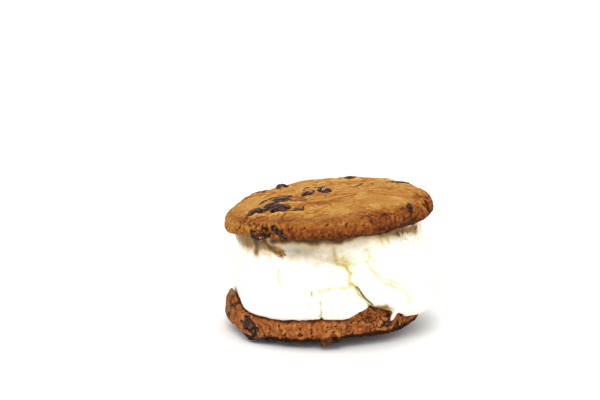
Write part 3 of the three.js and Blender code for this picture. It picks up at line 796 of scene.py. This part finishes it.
# Seen from above, as paths through (x, y): chocolate that melted between the chunks, the
# lip of dough in front of them, and one crack at the right end through (x, y, z).
MELTED = [
    {"path": [(-32.5, -7.5), (-29.2, -3.6), (-25.5, -2.8), (-20, -3.6)], "wide": 1.3, "much": 1},
    {"path": [(-26.5, -6.6), (-21, -7.5)], "wide": 2.8, "much": 1},
    {"path": [(-25.5, -10.2), (-19.8, -11.6)], "wide": 1.8, "much": 1},
    {"path": [(-31, -16), (-27.5, -12), (-24.4, -8.8)], "wide": 2.0, "much": 1},
    {"path": [(-29, -18.5), (-25.6, -19)], "wide": 2.0, "much": 1},
    {"path": [(-20.4, -12), (-17, -15.6), (-13.2, -16)], "wide": 1.2, "much": [1, 0.8, 1]},
    {"path": [(-14, 1.5), (-13, 6), (-10, 6.4)], "wide": 1.1, "much": 0.8},
    {"path": [(-9, 5.4), (-5.8, 5.8), (-3.6, 3.6)], "wide": 1.2, "much": 1},
    {"path": [(25, 11.2), (29.5, 13), (35, 15.6)], "wide": [1.8, 2.8, 2.4], "much": 1},
    {"path": [(9.6, 3), (12.4, 5.4)], "wide": 0.8, "much": 0.8},
]
LIPS = [
    {"path": [(-34.5, -26.5), (-30.5, -29.8), (-25.5, -31.6), (-13, -34)], "wide": 1.1, "much": 1},
    {"path": [(-24, -17.2), (-17.5, -19), (-13, -22)], "wide": 1.2, "much": 0.9},
    {"path": [(-18, 1.5), (-13.6, -1.5), (-9.8, 1.2)], "wide": 1.0, "much": 0.6},
]
END_CRACK = np.array([
    (39.7, -17.9, 60.4), (40.6, -15.8, 58.8), (41.4, -14.2, 57.4), (42.2, -12.4, 55.8),
])

upper = fine_copy("top_cookie", "upper_cookie", CRUST_VOXEL, CRUST_RUBS)
points = points_of(upper)
normals = normals_of(upper)
out = np.linalg.norm(points[:, :2] - UPPER_AXIS, axis=1)
edge = smooth_step(out, *UPPER_EDGE)
dome = smooth_step(normals[:, 2], 0.3, 0.9)
torn = in_places(points, UPPER_TORN, 60, 2.0)
whole = 1 - 0.6 * torn
rough = in_places(points, UPPER_ROUGH, 63, 3.0)
chips = in_places(points, UPPER_CHIPS, 50, 1.2)
to_chunk = from_chunks(points, UPPER_CHUNKS)
to_cream = from_node(points, "ice_cream", CREAM_REACH)
shake = np.stack([lumps(points, 2.2, 66), lumps(points, 2.2, 67), 0 * out], axis=1)
shaky = points + 0.9 * shake
melted = dome * strongest(shaky[:, :2], MELTED, np.array)
lip = dome * strongest(shaky[:, :2], LIPS, np.array)
end_crack = beside(points + 0.5 * (shaky - points), END_CRACK, 1.3, [0.6, 1.1, 1.1, 0.6])
set_first = dome * smooth_step(lumps(points, 20, 42), -0.45, 0.15)
drawn = points * np.array([0.55, 1, 1]) + 1.8 * lumps(points, 6, 41)[:, None]
wrinkles = set_first * np.maximum(creases(drawn, 7.0, 47), 0.6 * creases(drawn, 3.8, 48))
open_crumb, holes = crumb(points, 71)
on_edge = np.clip(1.15 - dome, 0.12, 1)
# Relief in mm: swells and wrinkles of the dome, then the edge's crumb, tears and raised dough.
relief = dome * (0.70 * lumps(points, 9, 45) + 0.22 * lumps(points, 4.0, 49)) - 0.5 * wrinkles
relief += 0.8 * on_edge * whole * open_crumb + torn * broken_crumb(points, 27)
relief += rough * (0.45 * lumps(points, 3.2, 46) + 0.35 * (grains(points, 1.6, 44) - 0.5))
relief += collar(to_chunk, height=0.45, away=1.1, wide=0.8) + 0.75 * lip - 1.7 * end_crack
relief += np.maximum(chips, melted) * (0.35 + 0.35 * lumps(points, 1.9, 68))
hollow = carve(upper, relief, CRUST_ROUNDS) / CRUST_HOLLOW
left = smooth_step(-points[:, 0], 28, 38)
right = smooth_step(points[:, 0], 30, 40)
near = smooth_step(-points[:, 1], 4, 24)
far = smooth_step(points[:, 1], -2, 14)
steep = smooth_step(-normals[:, 2], -0.80, 0.30)
# Its hanging rim is painted lighter at the left, where the light fell from the left front, and a
# little lighter at the right end.
steep *= 1 - 0.64 * left - 0.15 * right
# Painted shade where it meets the ice cream.
cream_contact_shade = 1 - smooth_step(to_cream, 0.4, 1.8)
# How far it is toasted, with painted shade and light added: 0 is pale, 1 is black, and each number
# is what that place adds.
# Painted shade in the wrinkles' valleys.
toast_and_shade = 0.16 + 0.10 * edge + 0.55 * steep + 0.34 * wrinkles + 0.25 * cream_contact_shade * steep
toast_and_shade += 0.14 * rough + 0.20 * dome * smooth_step(out, 43, 47) - 0.06 * torn - 0.16 * lip
# The dome is painted a little darker toward the front and lighter toward the back, as light fell on
# it.
toast_and_shade += dome * (0.03 * near - 0.07 * far)
# Painted light on the left of the edge.
toast_and_shade -= 0.09 * edge * left
# Hollows are painted darker as shade and ridges lighter, the edge the most.
paint(upper, "toast_and_shade", toast_and_shade + (0.08 + 0.06 * edge) * np.clip(hollow, -1.1, 1.8))
# Olive-brown toward the dome's outer edge, where it is also darker.
paint(upper, "olive", 0.6 * dome * smooth_step(out, 43.5, 47))
# Painted shade in the open bubbles and splits, in the hollows of the torn crumb and in the crack at
# the right end.
painted_pore_shade = on_edge * holes * (0.75 + 0.4 * rough) * whole
painted_pore_shade += torn * smooth_step(hollow, 0.3, 1.3)
paint(upper, "pore_shade", np.maximum(painted_pore_shade, end_crack))
paint(upper, "chip", np.maximum(chips, melted) + stained(to_chunk))
paint(upper, "coarse", 0.45 + 0.55 * np.maximum(edge, rough))
UPPER_TONES = [
    (0.0, (0.65, 0.38, 0.120)),
    (0.2, (0.475, 0.220, 0.044)),
    (0.45, (0.34, 0.108, 0.020)),
    (0.7, (0.19, 0.050, 0.012)),
    (1.0, (0.06, 0.016, 0.006)),
]
upper.data.materials.append(baked_dough("baked golden crust", UPPER_TONES))
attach(upper, "root")
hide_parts("top_cookie")


# ---------------------------------------------------------------------------------------
# Crumbs. Bits of baked dough and chocolate that broke off where the cookies are torn and
# stick to the ice cream and the edges.

CRUMB_SEED = 7
CRUMB_LOWEST = 1.0  # mm above the table, below which none sticks
CRUMB_RISE = 0.35  # how far its middle stands out, as a share of its radius
FULL_TURN = 6.28  # radians
CRUMB_TONES = [(0.0, (0.44, 0.24, 0.080)), (0.5, (0.32, 0.135, 0.038)), (1.0, (0.15, 0.052, 0.017))]
# Paths through (x, y, z): how many crumbs lie within wide mm of each, and how large.
CRUMB_BEDS = [
    {"on": cream, "path": [(-32, -33, 47.5), (-28, -36, 45), (-22.5, -39, 41.8)],
     "wide": 1.5, "count": 20, "size": (0.4, 1.0)},
    {"on": upper, "path": [(-37, -32, 50), (-30, -37, 50), (-24, -41, 50)],
     "wide": 2.2, "count": 34, "size": (0.6, 1.4)},
    {"on": cream, "path": [(24, -33, 49.5), (32, -24, 49.5), (37, -16, 49)],
     "wide": 1.6, "count": 10, "size": (0.4, 0.9)},
    {"on": lower, "path": [(12, -42, 13), (20, -38, 12), (27, -32, 10)],
     "wide": 3.0, "count": 18, "size": (0.5, 1.2)},
    {"on": cream, "path": [(-10, 40, 48), (6, 41, 49), (20, 38, 49)],
     "wide": 2.0, "count": 14, "size": (0.4, 1.0)},
    {"on": upper, "path": [(-16, 46, 52), (-8, 47.5, 53)],
     "wide": 2.2, "count": 14, "size": (0.6, 1.4)},
]


def crumb_mesh():
    """Every crumb as an uneven lump set into the surface it sticks to, in one mesh."""
    ball = bmesh.new()
    bmesh.ops.create_icosphere(ball, subdivisions=2, radius=1)
    shape = np.array([vertex.co for vertex in ball.verts])
    faces = np.array([[vertex.index for vertex in face.verts] for face in ball.faces])
    ball.free()
    draw = np.random.default_rng(CRUMB_SEED)
    corners, sides, browns = [], [], []
    for bed in CRUMB_BEDS:
        points, normals = points_of(bed["on"]), normals_of(bed["on"])
        away, _ = from_path(points, np.array(bed["path"], float))
        near = np.flatnonzero((away < bed["wide"]) & (points[:, 2] > CRUMB_LOWEST))
        for index in draw.choice(near, bed["count"], replace=False):
            radius = draw.uniform(*bed["size"]) / 2
            turned = np.array(Euler(draw.uniform(0, FULL_TURN, 3)).to_matrix())
            lump = shape * draw.uniform(0.6, 1.2, 3) * radius
            lump = lump * (1 + 0.5 * lumps(shape * 2 + index, 1.3, CRUMB_SEED)[:, None])
            sides.append(faces + len(shape) * len(corners))
            corners.append(lump @ turned.T + points[index] + CRUMB_RISE * radius * normals[index])
            browns.append(np.full(len(shape), draw.uniform(0, 1)))
    mesh = bpy.data.meshes.new("crumbs")
    mesh.from_pydata(np.concatenate(corners) * MM, [], np.concatenate(sides))
    mesh.shade_smooth()
    return mesh, np.concatenate(browns)


def crumb_dough(name):
    material, tree, shader = new_material(name)
    brown = uneven(tree, "brown", by=0.3, size=0.7)
    tree.links.new(tone(tree, brown, CRUMB_TONES), shader.inputs["Base Color"])
    shader.inputs["Roughness"].default_value = 0.8
    shader.inputs["Specular IOR Level"].default_value = 0.05
    emboss(tree, shader, noise_of(tree, 0.4, 3), 0.25)
    return material


mesh, browns = crumb_mesh()
crumbs = bpy.data.objects.new("crumbs", mesh)
bpy.context.scene.collection.objects.link(crumbs)
paint(crumbs, "brown", browns)
mesh.materials.append(crumb_dough("loose crumb"))
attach(crumbs, "root")


# ---------------------------------------------------------------------------------------
# The table, the light and the camera. A plain white table in a white room, one large soft
# light high in front, and a long lens just above the sandwich.

TABLE_SIDE = 30.0  # metres
ROOM_LIGHT = 1.08


def lay_table():
    half = TABLE_SIDE / 2
    mesh = bpy.data.meshes.new("table")
    corners = [(-half, -half, 0), (half, -half, 0), (half, half, 0), (-half, half, 0)]
    mesh.from_pydata(corners, [], [(0, 1, 2, 3)])
    table = bpy.data.objects.new("table", mesh)
    bpy.context.scene.collection.objects.link(table)
    material, tree, shader = new_material("white table")
    grain = noise_of(tree, 40)
    colour = tone(tree, grain, [(0.3, (0.95, 0.95, 0.95)), (0.7, (0.97, 0.97, 0.97))])
    tree.links.new(colour, shader.inputs["Base Color"])
    shader.inputs["Roughness"].default_value = 0.8
    mesh.materials.append(material)


def hang_light(turn, height, softness, strength):
    """A far light at turn degrees (-90 is the front) and height degrees above level; the
    degrees of softness are how wide it looks."""
    light = bpy.data.lights.new("key light", "SUN")
    light.energy = strength
    light.angle = np.radians(softness)
    lamp = bpy.data.objects.new("key light", light)
    bpy.context.scene.collection.objects.link(lamp)
    turn, height = np.radians(turn), np.radians(height)
    flat = np.cos(height)
    towards = Vector((flat * np.cos(turn), flat * np.sin(turn), np.sin(height)))
    lamp.rotation_euler = towards.to_track_quat("Z", "Y").to_euler()


def set_camera():
    """A long lens, 12.8 degrees above level; the shift sets the sandwich right of and
    below the middle of the frame."""
    tilt = np.radians(12.8)
    distance = 0.70
    aim = Vector((-0.00065, 0.0004, 0.0305))
    camera = bpy.data.objects.new("camera", bpy.data.cameras.new("camera"))
    bpy.context.scene.collection.objects.link(camera)
    camera.location = aim + Vector((0, -distance * np.cos(tilt), distance * np.sin(tilt)))
    camera.rotation_euler = (np.pi / 2 - tilt, 0, 0)
    camera.data.sensor_width = 36
    camera.data.lens = 91.6
    camera.data.shift_x = -0.055
    camera.data.shift_y = 0.1
    camera.data.clip_end = 100
    bpy.context.scene.camera = camera


lay_table()
hang_light(turn=-91, height=47, softness=34, strength=1.25)
set_camera()

world = bpy.data.worlds.new("white room")
world.use_nodes = True
world.node_tree.nodes["Background"].inputs["Color"].default_value = (1, 1, 1, 1)
world.node_tree.nodes["Background"].inputs["Strength"].default_value = ROOM_LIGHT
bpy.context.scene.world = world
bpy.context.scene.view_settings.view_transform = "Standard"
